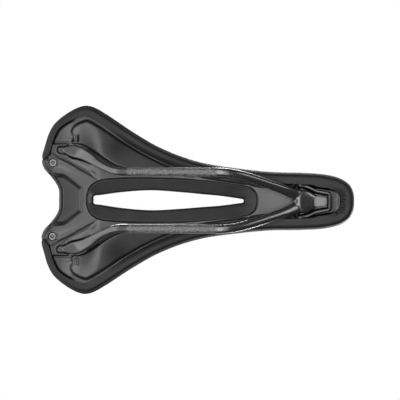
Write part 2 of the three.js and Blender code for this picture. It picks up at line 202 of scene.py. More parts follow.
RECESS = [
    (-106, -18.2), (-89, -17.2), (-86.8, -16), (-75.9, -7.6), (-75.9, 7.6), (-86.8, 16), (-89, 17.2), (-106, 18.2),
]
SLOT = [
    (-93, 39.9), (-92.3, 41.8), (-86.5, 42.2), (-84, 43.7), (-79.8, 44.3), (-75, 43.4), (-70, 41), (-66, 38.4),
    (-66, 28.4), (-70, 30.2), (-75.3, 31.6), (-80.8, 32.7), (-83.2, 33.7), (-85.2, 35.4), (-88, 36.1), (-91, 36.5),
    (-93, 38.2),
]
BLOCK = [
    (96, -14.4), (104, -13), (108, -11.4), (113, -10), (120, -8.8), (128.8, -8.2), (128.8, 8.2), (120, 8.8), (113, 10),
    (108, 11.4), (104, 13), (96, 14.4),
]
POCKET = [
    (88, -14), (104.6, -9.8), (107.6, -8.4), (110.8, -6.8), (120.4, -5), (120.4, 5), (110.8, 6.8), (107.6, 8.4),
    (104.6, 9.8), (88, 14),
]


def relief(x, y, z, from_rim, from_opening, turn):
    """The moulded detail, added to the plain underside. Each feature is a height times an eased mask of the distance
    to its outline: the frame and its dishes, the bead inside the hem, grooves, recesses, the nose block."""
    away = np.abs(y)
    hem = hem_width(turn)
    w = wrapped(turn)
    # The frame stands down from the dishes by a steep wall, with a rib along it beside the blades' necks. The step
    # behind each dish is lower.
    neck = bell(x, -57, 10)
    inboard = dish_inboard(x, away)
    dish = ease(-0.9 - 2.6 * neck, 0.4, inboard)
    rear = ease(-0.8, 1.4, within(x, away, DISH_REAR))
    shelf = ease(hem - 1, hem + 1.2, from_rim)
    z = z - FRAME_HEIGHT * (1 - dish) * shelf - 0.8 * dish * (1 - rear) * shelf
    z = z - 2.4 * neck * ease(-9, -3, inboard) * (1 - dish)
    # Along the opening the frame is flat for two millimetres, then falls away under the rails.
    flank = ease(-46, -34, x) * ease(60, 48, x)
    z = z + 2.2 * ease(2.2, 7, from_opening) * flank * (1 - dish)
    # The shell's edge is a flat bead inside the hem, from the wing's corner to the waist. Behind the corner the hem
    # ends in a narrow groove.
    bead = ease(-86, -79, x) * w
    width = 1.4 + 1.2 * bell(x, -73, 11)
    ledge = outline(RIM, turn)[0][..., 2] + LEDGE_STEP * w + hem_rise(turn)
    inside = from_rim - hem
    z = z + 0.9 * ease(-90, -70, x) * w * ease(width, width + 2.4, inside) * dish * ease(40, 10, x)
    level = ease(width + 0.9, width, inside) * bead * ease(100, 60, x)
    z = z + (ledge - 0.3 - z) * level
    z = z + 1.3 * ease(1.8, 0.2, inside) * (1 - ease(-84, -78, x)) * w
    # A lug and a low strip behind each dish.
    z = z - 1.1 * bell(x, -77.7, 0.8) * ease(45.4, 46.4, away) * ease(52, 51, away)
    strip = ease(45.1, 45.7, away) * ease(48.9, 48.3, away) * ease(-96.5, -95, x) * ease(-80.4, -81.6, x)
    z = z - 0.8 * strip
    # The groove that runs in from each ear, with the frame a step lower outboard of it.
    line = np.interp(x, [-100, -96, -92, -83.8, -72, -64, -56], [37.6, 35.1, 32.3, 28.3, 22.3, 17.7, 12])
    z = z + 1.1 * bell(away - line, 0, 0.75) * ease(-100, -98, x) * ease(-76, -82, x)
    z = z - 0.9 * ease(-0.7, 0.9, away - line) * ease(-100, -96, x) * ease(-58, -68, x) * (1 - dish)
    z = z - 0.4 * bell(away - line, 3, 1.8) * ease(-90, -82, x) * ease(-60, -66, x)
    # The recess between the ears, with walls that slope.
    recess = ease(-3.7, 0.2, within(x, y, RECESS))
    z = z + (3 - 0.035 * (x + 86)) * recess
    # The opening's rounded edge.
    z = z + 0.6 * ease(0.5, 0, from_opening)
    # The recess for each blade's tip.
    z = z + 1.9 * ease(-0.3, 0.4, within(x, away, SLOT))
    # The nose block, its face tilted up towards the nose, with a trough along each side of it, and the pocket with
    # a raised lip round it.
    z = z + 0.02 * np.clip(x - 67, 0, 30) * ease(16, 10, away)
    side = within(x, y, BLOCK)
    trough = ease(-4.2, -3, side) * ease(97, 101, x) * ease(129, 126, x)
    z = z + (24 - z) * trough
    block = ease(-1.4, 0, side) * ease(92, 98, x)
    z = z + (19.4 + 0.7 * ease(121, 129, x) - z) * block
    pocket = within(x, y, POCKET)
    lip = ease(-2.8, -2.3, pocket) * ease(-0.3, -0.7, pocket) * ease(99, 103, x)
    z = z - 1.1 * lip
    z = z + (25 - z) * ease(-0.3, 0.4, pocket) * ease(95, 99, x)
    # A flat ring round each insert.
    ring = np.hypot(x - INSERT_AT[0], away - INSERT_AT[1])
    return z - 0.35 * ease(4.6, 4, ring) + 3 * ease(3, 2.7, ring)


def new_piece(name, points, faces, material, across=None):
    """A mesh object from points in millimetres and faces, smooth-shaded, riding on the saddle's one body. A UV in
    metres is laid on it where one is given for each point."""
    mesh = bpy.data.meshes.new(name)
    mesh.from_pydata((points * 0.001).tolist(), [], faces.tolist())
    mesh.shade_smooth()
    if across is not None:
        layer = mesh.uv_layers.new(name="UVMap")
        corner = np.zeros(len(mesh.loops), np.int32)
        mesh.loops.foreach_get("vertex_index", corner)
        layer.data.foreach_set("uv", across[corner].astype(np.float32).ravel())
    mesh.materials.append(material)
    piece = bpy.data.objects.new(name, mesh)
    bpy.context.scene.collection.objects.link(piece)
    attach(piece, "root")
    return piece


def ring_faces(turns, points, closed):
    """The quads between neighbouring sections of a ring, and round each section too where it is closed."""
    i = np.arange(turns)[:, None]
    j = np.arange(points if closed else points - 1)[None, :]
    ni, nj = (i + 1) % turns, (j + 1) % points
    quad = [i * points + j, i * points + nj, ni * points + nj, ni * points + j]
    return np.stack([np.broadcast_to(q, (turns, j.shape[1])) for q in quad], axis=-1).reshape(-1, 4)


def ring_uv(path):
    """Each point's distance round the ring and along its section, in metres, so that cloth keeps its scale."""
    lap = np.linalg.norm(np.diff(path, axis=0, append=path[:1]), axis=2).mean(axis=1)
    u = np.cumsum(lap) - lap[0]
    step = np.linalg.norm(np.diff(path, axis=1, prepend=path[:, :1]), axis=2).mean(axis=0)
    v = np.cumsum(step)
    return np.stack(np.broadcast_arrays(u[:, None], v[None, :]), axis=-1).reshape(-1, 2) * 0.001


def shader_group(name, inputs, outputs):
    """An empty shader node group with named inputs (name, kind, default) and outputs (name, kind)."""
    group = bpy.data.node_groups.new(name, "ShaderNodeTree")
    for label, kind, value in inputs:
        socket = group.interface.new_socket(label, in_out="INPUT", socket_type="NodeSocket" + kind)
        if value is not None:
            socket.default_value = value
    for label, kind in outputs:
        group.interface.new_socket(label, in_out="OUTPUT", socket_type="NodeSocket" + kind)
    return group


def feed(tree, node, links):
    """Each named input of a node set to a value or linked from a socket; i0 and i1 name inputs by their number."""
    for key, value in links.items():
        label = int(key[1:]) if key[0] == "i" and key[1:].isdigit() else key.replace("_", " ")
        if isinstance(value, bpy.types.NodeSocket):
            tree.links.new(value, node.inputs[label])
        else:
            node.inputs[label].default_value = value
    return node


def wire(tree, kind, settings=(), **links):
    """A shader node of a kind, with settings on the node and its inputs fed."""
    node = tree.nodes.new("ShaderNode" + kind)
    for key, value in dict(settings).items():
        setattr(node, key, value)
    return feed(tree, node, links)


def grain_group():
    """Moulded grain: fine noise for the height, and a slow mottle for tone and roughness."""
    g = shader_group("moulded grain",
                     [("Vector", "Vector", None), ("Grain Size", "Float", 0.0006), ("Mottle Size", "Float", 0.02)],
                     [("Height", "Float"), ("Mottle", "Float")])
    given = g.nodes.new("NodeGroupInput").outputs
    out = g.nodes.new("NodeGroupOutput")
    scale = wire(g, "Math", {"operation": "DIVIDE"}, i0=1.0, i1=given["Grain Size"]).outputs[0]
    slow = wire(g, "Math", {"operation": "DIVIDE"}, i0=1.0, i1=given["Mottle Size"]).outputs[0]
    fine = wire(g, "TexNoise", Vector=given["Vector"], Scale=scale, Detail=3.0)
    broad = wire(g, "TexNoise", Vector=given["Vector"], Scale=slow, Detail=4.0)
    g.links.new(fine.outputs["Fac"], out.inputs["Height"])
    g.links.new(broad.outputs["Fac"], out.inputs["Mottle"])
    return g


GRAIN = grain_group()


def use_group(tree, group, **links):
    """A shader node group placed in a material, with its inputs fed."""
    node = tree.nodes.new("ShaderNodeGroup")
    node.node_tree = group
    return feed(tree, node, links)


def plain_material(name, **sockets):
    """A material with one Principled BSDF and its constant sockets set; gives the material, tree and shader."""
    material = bpy.data.materials.new(name)
    material.use_nodes = True
    shader = material.node_tree.nodes["Principled BSDF"]
    for key, value in sockets.items():
        shader.inputs[key.replace("_", " ")].default_value = value
    return material, material.node_tree, shader


NOISE_SPAN = (0.3, 0.7)  # the middle of what a noise gives, where nearly all of it lies


def shade_between(tree, shader, factor, dark, light):
    """Base colour from dark to light greys over the span of a noise."""
    ramp = wire(tree, "MapRange", Value=factor, From_Min=NOISE_SPAN[0], From_Max=NOISE_SPAN[1], To_Min=0.0, To_Max=1.0)
    mix = wire(tree, "Mix", {"data_type": "RGBA"}, i0=ramp.outputs[0])
    mix.inputs[6].default_value = (*dark, 1)
    mix.inputs[7].default_value = (*light, 1)
    tree.links.new(mix.outputs[2], shader.inputs["Base Color"])


def bump(tree, shader, height, distance, strength=1.0):
    """A Bump node on the shader's normal, for a height in shares of a distance in metres."""
    node = wire(tree, "Bump", Height=height, Distance=distance, Strength=strength)
    tree.links.new(node.outputs["Normal"], shader.inputs["Normal"])


def vary(tree, shader, label, factor, low, high):
    """A shader input that goes from low to high over the span of a noise."""
    node = wire(tree, "MapRange", Value=factor, From_Min=NOISE_SPAN[0], From_Max=NOISE_SPAN[1], To_Min=low, To_Max=high)
    tree.links.new(node.outputs[0], shader.inputs[label])


def grained(name, dark, light, rough, grain_size, depth, **sockets):
    """A moulded plastic: grain for its bump, mottle for its tone and roughness."""
    material, tree, shader = plain_material(name, **sockets)
    place = tree.nodes.new("ShaderNodeTexCoord").outputs["Object"]
    grain = use_group(tree, GRAIN, Vector=place, Grain_Size=grain_size)
    shade_between(tree, shader, grain.outputs["Mottle"], dark, light)
    vary(tree, shader, "Roughness", grain.outputs["Mottle"], *rough)
    bump(tree, shader, grain.outputs["Height"], depth)
    return material


def shell_piece():
    """A ring of closed sections: the underside with its relief, then back over a smooth top face."""
    turn = turns_of(600)[:, None]
    under = np.concatenate([np.linspace(0, 0.08, 7)[:-1], np.linspace(0.08, 0.9, 72), np.linspace(0.9, 1, 9)[1:]])
    over = np.linspace(1, 0, 12)
    x, y, z, _, from_opening = sheet_height(turn, under[None, :])
    edge = outline(RIM, np.linspace(0, 0.5, 150))[0][:, :2]
    from_rim = within(x, np.abs(y), np.vstack([edge, [(edge[-1, 0], -60), (edge[0, 0], -60)]]))
    lower = np.stack([x, y, relief(x, y, z, from_rim, from_opening, turn)], axis=-1)
    x, y, z, _, _ = sheet_height(turn, over[None, :])
    z = z + SHELL_THICK
    bore = ease(3.6, 3.2, np.hypot(x - INSERT_AT[0], np.abs(y) - INSERT_AT[1]))
    upper = np.stack([x, y, np.maximum(z + 0.2 * bore, 0)], axis=-1)
    path = np.concatenate([lower, upper], axis=1)[:, ::-1]
    material = grained("shell nylon", (0.004, 0.004, 0.0042), (0.006, 0.006, 0.0062), (0.31, 0.38), 0.0005, 0.00002,
                       Specular_IOR_Level=0.5)
    piece = new_piece("moulded_shell", path.reshape(-1, 3), ring_faces(*path.shape[:2], True), material)
    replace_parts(piece, "shell")


shell_piece()

# ---- Rail ----
# One piece of moulded carbon fibre: two oval rails that end in flat blades at the rear, and join in a tongue at the
# nose. The straight stretches are gritted so that the clamp holds them; the rest is lacquered.
RAIL = [
    (-91, 38.9, 28.7, 2.8, 2.2, 0.7), (-86.4, 39.2, 28.4, 5.6, 2.8, 0.6), (-80.4, 38.4, 27.3, 10, 3.8, 0.5),
    (-75.4, 37.4, 25.8, 10.1, 4.4, 0.46), (-70.6, 35.5, 23.2, 9.2, 5.2, 0.44), (-65.7, 32.9, 20, 8.6, 6, 0.44),
    (-61, 29.8, 16.6, 7.6, 6.6, 0.46), (-56.5, 27, 12.7, 6.7, 7.4, 0.5), (-52, 24.7, 8.9, 6.3, 8.2, 0.54),
    (-46, 22.6, 3.8, 6.5, 8.8, 0.62), (-40, 21.9, 0.8, 6.9, 9, 0.7), (-34, 22, 0, 7, 9, 0.76), (-24, 22, 0, 7, 9, 0.76),
    (22, 22, 0, 7, 9, 0.76), (34, 22, 0, 7, 9, 0.74), (42, 21.5, 0.7, 6.9, 9, 0.7), (52, 19.8, 3.2, 6.9, 9, 0.7),
    (65, 16.1, 7.6, 7.1, 8.6, 0.7), (76.3, 12.4, 11.6, 7.4, 8.2, 0.7), (86.8, 8.9, 15.3, 8, 7.6, 0.7),
    (94, 6, 17.9, 8.8, 6.2, 0.66), (100, 4.8, 19.8, 8.6, 4.8, 0.6), (106, 3.8, 21.2, 6.4, 3.2, 0.56),
]
TONGUE = [
    (92.6, 0, 18.6, 3, 3, 0.9), (94.4, 0, 17.9, 7, 4.4, 0.8), (97, 0, 18.1, 15.4, 5, 0.6),
    (100.5, 0, 18.9, 18.6, 5, 0.5), (104, 0, 19.8, 18.4, 5, 0.5), (107.5, 0, 20.7, 14.8, 5, 0.5),
    (111, 0, 21.6, 9.9, 4.6, 0.5), (119.6, 0, 23.2, 7.6, 4.2, 0.5),
]


def along_path(table, step):
    """A table of stations resampled every step or so, by Catmull-Rom cubics in the distance along it."""
    p = np.array(table, float)
    p = np.vstack([2 * p[0] - p[1], p, 2 * p[-1] - p[-2]])
    length = np.concatenate([[0], np.cumsum(np.linalg.norm(np.diff(p[:, :3], axis=0), axis=1))])
    at = np.linspace(length[1], length[-2], int((length[-2] - length[1]) / step) + 2)
    k = np.clip(np.searchsorted(length, at, side="right") - 1, 1, len(p) - 3)
    l0, l1, l2, l3 = (length[k + s][:, None] for s in (-1, 0, 1, 2))
    p0, p1, p2, p3 = (p[k + s] for s in (-1, 0, 1, 2))
    t = (at[:, None] - l1) / (l2 - l1)
    m1 = (p2 - p0) / (l2 - l0) * (l2 - l1)
    m2 = (p3 - p1) / (l3 - l1) * (l2 - l1)
    return (2 * t**3 - 3 * t**2 + 1) * p1 + (t**3 - 2 * t**2 + t) * m1 + (3 * t**2 - 2 * t**3) * p2 + (t**3 - t**2) * m2


def swept(table, sides=40, step=1.0):
    """A bar of rounded section along a path of (x, y, z, width, height, power). Round the section, width and height
    go by the cosine and sine of an angle to that power, which flattens the faces; the two ends close in domes."""
    s = along_path(table, step)
    window = np.hanning(11)[1:-1] / np.hanning(11).sum()
    ends = len(window) // 2
    s = np.stack([np.convolve(np.pad(part, ends, mode="reflect", reflect_type="odd"), window, "valid")
                  for part in s.T], axis=1)
    way = np.gradient(s[:, :3], axis=0)
    way /= np.linalg.norm(way, axis=1, keepdims=True)
    across = np.stack([-way[:, 1], way[:, 0], 0 * way[:, 0]], axis=1)
    across /= np.linalg.norm(across, axis=1, keepdims=True)
    up = np.cross(way, across)
    up *= np.sign(up[:, 2:])
    a = np.arange(sides) * 2 * np.pi / sides
    c, d = (np.sign(f) * np.abs(f) ** s[:, 5:6] for f in (np.cos(a), np.sin(a)))
    dome = np.sin(np.linspace(0.001, np.pi / 2, 6))
    size = np.concatenate([dome, np.ones(len(s) - 12), dome[::-1]])
    body = (s[:, None, :3] + across[:, None] * (s[:, 3] / 2 * size)[:, None, None] * c[..., None]
            + up[:, None] * (s[:, 4] / 2 * size)[:, None, None] * d[..., None])
    return body.reshape(-1, 3), ring_faces(len(s), sides, True)[: (len(s) - 1) * sides, ::-1]


def merged(parts):
    """Several bodies' points and faces as one array each."""
    starts = np.cumsum([0] + [len(p) for p, _ in parts[:-1]])
    return np.vstack([p for p, _ in parts]), np.vstack([f + start for (_, f), start in zip(parts, starts)])


def applied(piece):
    """The piece's mesh with its modifiers applied in place."""
    done = bpy.data.meshes.new_from_object(piece.evaluated_get(bpy.context.evaluated_depsgraph_get()))
    piece.modifiers.clear()
    piece.data = done
    done.shade_smooth()
    return piece


def weave_group():
    """Twill weave of flat tows: over two and under two, each row one further on, as a height and a light shade."""
    g = shader_group("twill weave", [("Vector", "Vector", None), ("Tow Width", "Float", 0.0016)],
                     [("Height", "Float"), ("Warp", "Float")])
    given = g.nodes.new("NodeGroupInput").outputs
    out = g.nodes.new("NodeGroupOutput")
    math_node = lambda op, a, b=0.0: wire(g, "Math", {"operation": op}, i0=a, i1=b).outputs[0]
    xyz = wire(g, "SeparateXYZ", Vector=given["Vector"]).outputs
    u = math_node("DIVIDE", xyz[0], given["Tow Width"])
    v = math_node("DIVIDE", xyz[1], given["Tow Width"])
    step = math_node("ADD", math_node("FLOOR", u), math_node("FLOOR", v))
    warp = math_node("LESS_THAN", math_node("FLOORED_MODULO", step, 4.0), 2.0)
    ridge = lambda s: math_node("SINE", math_node("MULTIPLY", math_node("FRACT", s), math.pi))
    height = wire(g, "Mix", {"data_type": "FLOAT"}, i0=warp, i2=ridge(u), i3=ridge(v)).outputs[0]
    g.links.new(height, out.inputs["Height"])
    g.links.new(warp, out.inputs["Warp"])
    return g


WEAVE = weave_group()


def carbon_material():
    """Lacquered carbon: dark tows under a clear coat, and a grit of pale specks with a rough bump on the straights."""
    material, tree, shader = plain_material("carbon rail", Coat_Weight=0.6, Coat_Roughness=0.2, Specular_IOR_Level=0.5)
    place = tree.nodes.new("ShaderNodeTexCoord").outputs["Object"]
    x = wire(tree, "SeparateXYZ", Vector=place).outputs["X"]
    rear = wire(tree, "MapRange", Value=x, From_Min=-0.037, From_Max=-0.034, To_Min=0.0, To_Max=1.0).outputs[0]
    front = wire(tree, "MapRange", Value=x, From_Min=0.034, From_Max=0.031, To_Min=0.0, To_Max=1.0).outputs[0]
    gritted = wire(tree, "Math", {"operation": "MULTIPLY"}, i0=rear, i1=front).outputs[0]
    weave = use_group(tree, WEAVE, Vector=place, Tow_Width=0.0011)
    coarse = wire(tree, "TexNoise", Vector=place, Scale=900.0, Detail=4.0)
    tows = wire(tree, "Mix", {"data_type": "RGBA"}, i0=weave.outputs["Warp"])
    tows.inputs[6].default_value = (0.01, 0.01, 0.0105, 1)
    tows.inputs[7].default_value = (0.014, 0.014, 0.0145, 1)
    speck = wire(tree, "MapRange", Value=coarse.outputs["Fac"], From_Min=0.42, From_Max=0.66,
                 To_Min=0.0, To_Max=1.0).outputs[0]
    grits = wire(tree, "Mix", {"data_type": "RGBA"}, i0=speck)
    grits.inputs[6].default_value = (0.03, 0.03, 0.03, 1)
    grits.inputs[7].default_value = (0.13, 0.13, 0.13, 1)
    colour = wire(tree, "Mix", {"data_type": "RGBA"}, i0=gritted)
    tree.links.new(tows.outputs[2], colour.inputs[6])
    tree.links.new(grits.outputs[2], colour.inputs[7])
    tree.links.new(colour.outputs[2], shader.inputs["Base Color"])
    rough = wire(tree, "MapRange", Value=gritted, From_Min=0.0, From_Max=1.0, To_Min=0.22, To_Max=0.42).outputs[0]
    tree.links.new(rough, shader.inputs["Roughness"])
    lacquer = wire(tree, "MapRange", Value=gritted, From_Min=0.0, From_Max=1.0, To_Min=0.6, To_Max=0.0).outputs[0]
    tree.links.new(lacquer, shader.inputs["Coat Weight"])
    rough_height = wire(tree, "Math", {"operation": "MULTIPLY"}, i0=coarse.outputs["Fac"], i1=gritted).outputs[0]
    weave_height = wire(tree, "Math", {"operation": "MULTIPLY"}, i0=weave.outputs["Height"], i1=0.02).outputs[0]
    height = wire(tree, "Math", {"operation": "ADD"}, i0=rough_height, i1=weave_height).outputs[0]
    bump(tree, shader, height, 0.0004)
    return material


def rail_piece():
    """Three swept bars fused by a fine voxel remesh, which leaves a fillet where they meet, then relaxed."""
    left = swept(RAIL)
    right = swept([(x, -y, *rest) for x, y, *rest in RAIL])
    tongue = swept(TONGUE)
    points, faces = merged([left, right, tongue])
    piece = new_piece("carbon_rail_moulding", points, faces, carbon_material())
    remesh = piece.modifiers.new("fuse", "REMESH")
    remesh.mode, remesh.voxel_size = "VOXEL", 0.0006
    relax = piece.modifiers.new("relax", "SMOOTH")
    relax.factor, relax.iterations = 0.5, 10
    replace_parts(applied(piece), "carbon_rail")


rail_piece()

# ---- Cover ----
# One piece of black microfibre, stretched over the foam from the relief channel to the rim, turned round the
# shell's edge and glued under it. The spare cloth is gathered in pleats where the hem turns round the nose.
CHANNEL_ROLL = 5
EDGE_ROLL = 9
SEAM_AT = 14  # from the rim in to the pressed line
HEM_LENGTH = 640
PLEAT_PITCH = 2.1


def over_seat(turn, depth):
    """The cover's face over the foam, at a depth inside it: a quarter circle out of the channel, the seat surface,
    and a quarter circle down to the side. Distances run along the ray from the channel to the rim."""
    inner, _ = outline(CHANNEL, turn)
    outer = inset_rim(turn, 1.4 * (1 - wrapped(turn)))
    span = np.hypot(outer[..., 0] - inner[..., 0], outer[..., 1] - inner[..., 1])
    a = np.linspace(0, np.pi / 2, 8)
    start = CHANNEL_ROLL - (CHANNEL_ROLL - depth) * np.cos(a)
    start_drop = (CHANNEL_ROLL - depth) * (1 - np.sin(a))
    end = EDGE_ROLL - (EDGE_ROLL - depth) * np.cos(a[::-1])
    end_drop = (EDGE_ROLL - depth) * (1 - np.sin(a[::-1]))
    seam = np.array([2.6, 1.6, 1, 0.6, 0.25, 0, -0.25, -0.6, -1, -1.6])
    reach = span[:, None]
    gap = reach - CHANNEL_ROLL - SEAM_AT - 2.6
    inner_part = CHANNEL_ROLL + gap * np.linspace(0, 1, 12)[None, 1:-1]
    seam_part = reach - SEAM_AT - seam[None, :]
    far_part = reach - np.linspace(SEAM_AT - 2.4, EDGE_ROLL, 4)[None, :-1]
    roll = (len(reach), len(a))
    d = np.concatenate([np.broadcast_to(start, roll), inner_part, seam_part, far_part, reach - end[None, :]], axis=1)
    drop = np.concatenate([np.broadcast_to(start_drop, roll), 0 * inner_part, 0 * seam_part, 0 * far_part,
                           np.broadcast_to(end_drop, roll)], axis=1)
    x = inner[..., 0:1] + (outer[..., 0:1] - inner[..., 0:1]) * d / reach
    y = inner[..., 1:2] + (outer[..., 1:2] - inner[..., 1:2]) * d / reach
    pressed = 0.55 * bell(reach - d, SEAM_AT, 0.7) if depth == 0 else 0
    return np.stack([x, y, seat(x, y) - depth - drop - pressed], axis=-1)


def under_edge(turn, depth):
    """The cover's side and hem: it tucks in by the cube of the way down, rolls in to a fold, and runs on to the
    hem's end, which rises where the shell does. Round the nose a sine of the distance makes pleats in it."""
    w = wrapped(turn)
    rim, _ = outline(RIM, turn)
    top = seat(rim[..., 0], rim[..., 1]) - EDGE_ROLL
    low = rim[..., 2] + (SHELL_THICK + 0.3) * (1 - w)
    edge = 1.4 * (1 - w)
    turned = 1.2 + 1.6 * w
    side = np.linspace(0, 1, 7)[None, 1:]
    height = top[:, None] + (low + turned * 0.8 - top)[:, None] * side
    tuck = edge[:, None] + 0.5 * turned[:, None] * side**3
    a = np.linspace(0, np.pi / 2, 7)[None, 1:]
    fold_in = edge[:, None] + turned[:, None] * (0.5 + 0.9 * (1 - np.cos(a)))
    fold_z = (low + turned * 0.8)[:, None] - 0.8 * turned[:, None] * np.sin(a)
    hem = hem_width(turn)[:, None]
    run = np.linspace(0, 1, 15)[None, 1:]
    run_in = fold_in[:, -1:] + (hem - fold_in[:, -1:]) * run
    share = lap_share(turn)[:, None]
    nose = ease(0.925, 0.945, share)
    lap = turn[:, None] * HEM_LENGTH
    pleat = np.sin(lap * 2 * np.pi / PLEAT_PITCH + 1.3 * np.sin(lap * 0.9)) * (0.7 + 0.3 * np.sin(lap * 1.7))
    tilt = 0.1 * run + hem_rise(turn)[:, None] * (0.12 * run + 0.88 * np.clip((run - 0.34) / 0.66, 0, 1) ** 1.3)
    run_z = fold_z[:, -1:] + tilt * w[:, None] + 0.5 * pleat * nose * ease(0.1, 0.75, run)
    inset = np.concatenate([tuck, fold_in, run_in], axis=1)
    z = np.concatenate([height, fold_z, run_z], axis=1)
    p = inset_rim(np.broadcast_to(turn[:, None], inset.shape), inset)
    p[..., 2] = z
    return p


def nap_group():
    """Microfibre: a matted nap of fine noise over small cells, as a height, and a slow shade."""
    g = shader_group("microfibre nap",
                     [("Vector", "Vector", None), ("Nap Size", "Float", 0.0004), ("Cell Size", "Float", 0.0011)],
                     [("Height", "Float"), ("Shade", "Float")])
    given = g.nodes.new("NodeGroupInput").outputs
    out = g.nodes.new("NodeGroupOutput")
    nap_scale = wire(g, "Math", {"operation": "DIVIDE"}, i0=1.0, i1=given["Nap Size"]).outputs[0]
    cell_scale = wire(g, "Math", {"operation": "DIVIDE"}, i0=1.0, i1=given["Cell Size"]).outputs[0]
    nap = wire(g, "TexNoise", Vector=given["Vector"], Scale=nap_scale, Detail=4.0).outputs["Fac"]
    cell = wire(g, "TexVoronoi", Vector=given["Vector"], Scale=cell_scale).outputs["Distance"]
    broad = wire(g, "TexNoise", Vector=given["Vector"], Scale=60.0, Detail=5.0).outputs["Fac"]
    height = wire(g, "Mix", {"data_type": "FLOAT"}, i0=0.45, i2=nap, i3=cell).outputs[0]
    g.links.new(height, out.inputs["Height"])
    g.links.new(broad, out.inputs["Shade"])
    return g


NAP = nap_group()


def napped(name, dark, light, rough, depth, **sockets):
    """A napped cloth: tone and roughness from the slow shade, bump from the nap."""
    material, tree, shader = plain_material(name, **sockets)
    place = tree.nodes.new("ShaderNodeTexCoord").outputs["Object"]
    nap = use_group(tree, NAP, Vector=place)
    shade_between(tree, shader, nap.outputs["Shade"], dark, light)
    vary(tree, shader, "Roughness", nap.outputs["Shade"], *rough)
    bump(tree, shader, nap.outputs["Height"], depth)
    return material


def cover_piece():
    """The outer face as one strip of sections round the saddle, given its thickness inwards."""
    turn = turns_of(660)
    path = np.concatenate([over_seat(turn, 0), under_edge(turn, 0)], axis=1)
    material = napped("cover microfibre", (0.004, 0.004, 0.0041), (0.0065, 0.0065, 0.0067), (0.46, 0.56), 0.0001,
                      Sheen_Weight=0.02, Sheen_Roughness=0.4, Specular_IOR_Level=0.24)
    piece = new_piece("microfibre_cover", path.reshape(-1, 3), ring_faces(*path.shape[:2], False),
                      material, ring_uv(path))
    wall = piece.modifiers.new("cloth", "SOLIDIFY")
    wall.thickness, wall.offset = 0.0011, -1
    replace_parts(piece, "cover")


cover_piece()

# ---- Foam ----
# The moulded polyurethane pad between the cover and the shell. It is closed in on all sides: by the cover above, by
# the shell below, and by the liner towards the relief channel.
def foam_piece():
    """A ring of closed sections: the shell's top face, the liner's back, and the inside of the cover."""
    turn = turns_of(200)
    share = np.linspace(1, 0.04, 14)
    x, y, z, from_rim, _ = sheet_height(turn[:, None], share[None, :])
    w = wrapped(turn)[:, None]
    z = z + SHELL_THICK + 0.3 + 1.5 * (1 - w) * ease(10, 6, from_rim)
    bore = ease(4, 3.4, np.hypot(x - INSERT_AT[0], np.abs(y) - INSERT_AT[1]))
    bottom = np.stack([x, y, z + 3.4 * bore], axis=-1)
    edge = inset_rim(turn, 1.5 + 1.4 * (1 - wrapped(turn)))[:, None]
    edge[..., 2] = bottom[:, :1, 2]
    wall = liner_face(turn, 1.3)[:, 1:]
    path = np.concatenate([edge, bottom[:, 1:], wall, over_seat(turn, 1.5)], axis=1)
    material = grained("pad foam", (0.03, 0.03, 0.031), (0.045, 0.045, 0.046), (0.85, 0.95), 0.0009, 0.0002)
    piece = new_piece("foam_core", path.reshape(-1, 3), ring_faces(*path.shape[:2], True), material)
    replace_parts(piece, "foam_pad")


def liner_face(turn, depth):
    """One face of the channel's liner, at a depth behind its visible face: from inside the shell's opening, up a
    leaning, slightly hollow wall, to the narrowest part of the channel."""
    low, _ = outline(OPENING, turn)
    high, _ = outline(CHANNEL, turn)
    _, _, base, _, _ = sheet_height(turn, 0 * turn)
    inward = high - low
    inward[..., 2] = 0
    inward /= np.maximum(np.linalg.norm(inward, axis=-1, keepdims=True), 1e-6)
    t = np.linspace(0, 1, 18)
    start = low + inward * (1.3 - depth)
    end = high - inward * depth
    path = start[:, None] + (end - start)[:, None] * (t + 0.05 * np.sin(np.pi * t))[None, :, None]
    start_z = base + 0.2
    end_z = seat(high[:, 0], high[:, 1]) - CHANNEL_ROLL - 0.3
    path[..., 2] = start_z[:, None] + (end_z - start_z)[:, None] * (t**0.86)[None, :]
    return path


foam_piece()

# ---- Channel liner ----
# A thin moulded skin that closes the foam off inside the relief channel, from the shell's opening to the cover. It
# is tucked in behind the opening's edge and held there by the foam.
def liner_piece():
    """A ring of closed sections between the liner's visible face and its back."""
    turn = turns_of(400)
    path = np.concatenate([liner_face(turn, 0), liner_face(turn, 1)[:, ::-1]], axis=1)
    material = napped("liner skin", (0.026, 0.026, 0.0265), (0.034, 0.034, 0.035), (0.6, 0.7), 0.00003,
                      Specular_IOR_Level=0.35)
    piece = new_piece("channel_skin", path.reshape(-1, 3), ring_faces(*path.shape[:2], True), material)
    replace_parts(piece, "channel_liner")


liner_piece()

# ---- Threaded inserts ----
# A steel bush is moulded into each ear and takes a small machine screw for an accessory. Its face is flush with the
# ear, a chamfer leads into the thread, and the hole is blind.
THREAD_PITCH = 0.8
THREAD_DEPTH = 0.16
BORE = 1.65


def lathed(profile, middle, sides=72):
    """Points and quads of a closed ring section, turned round an upright axis through a plan point. The thread is a
    sine of the angle plus the height, so its crests climb one pitch a turn."""
    r, z, thread = np.array(profile, float).T
    a = np.arange(sides)[:, None] * 2 * np.pi / sides
    radius = r[None, :] + THREAD_DEPTH * thread[None, :] * np.sin(a + 2 * np.pi * z[None, :] / THREAD_PITCH)
    x, y = middle[0] + radius * np.cos(a), middle[1] + radius * np.sin(a)
    points = np.stack([x, y, np.broadcast_to(z, x.shape)], axis=-1).reshape(-1, 3)
    return points, ring_faces(sides, len(r), True)


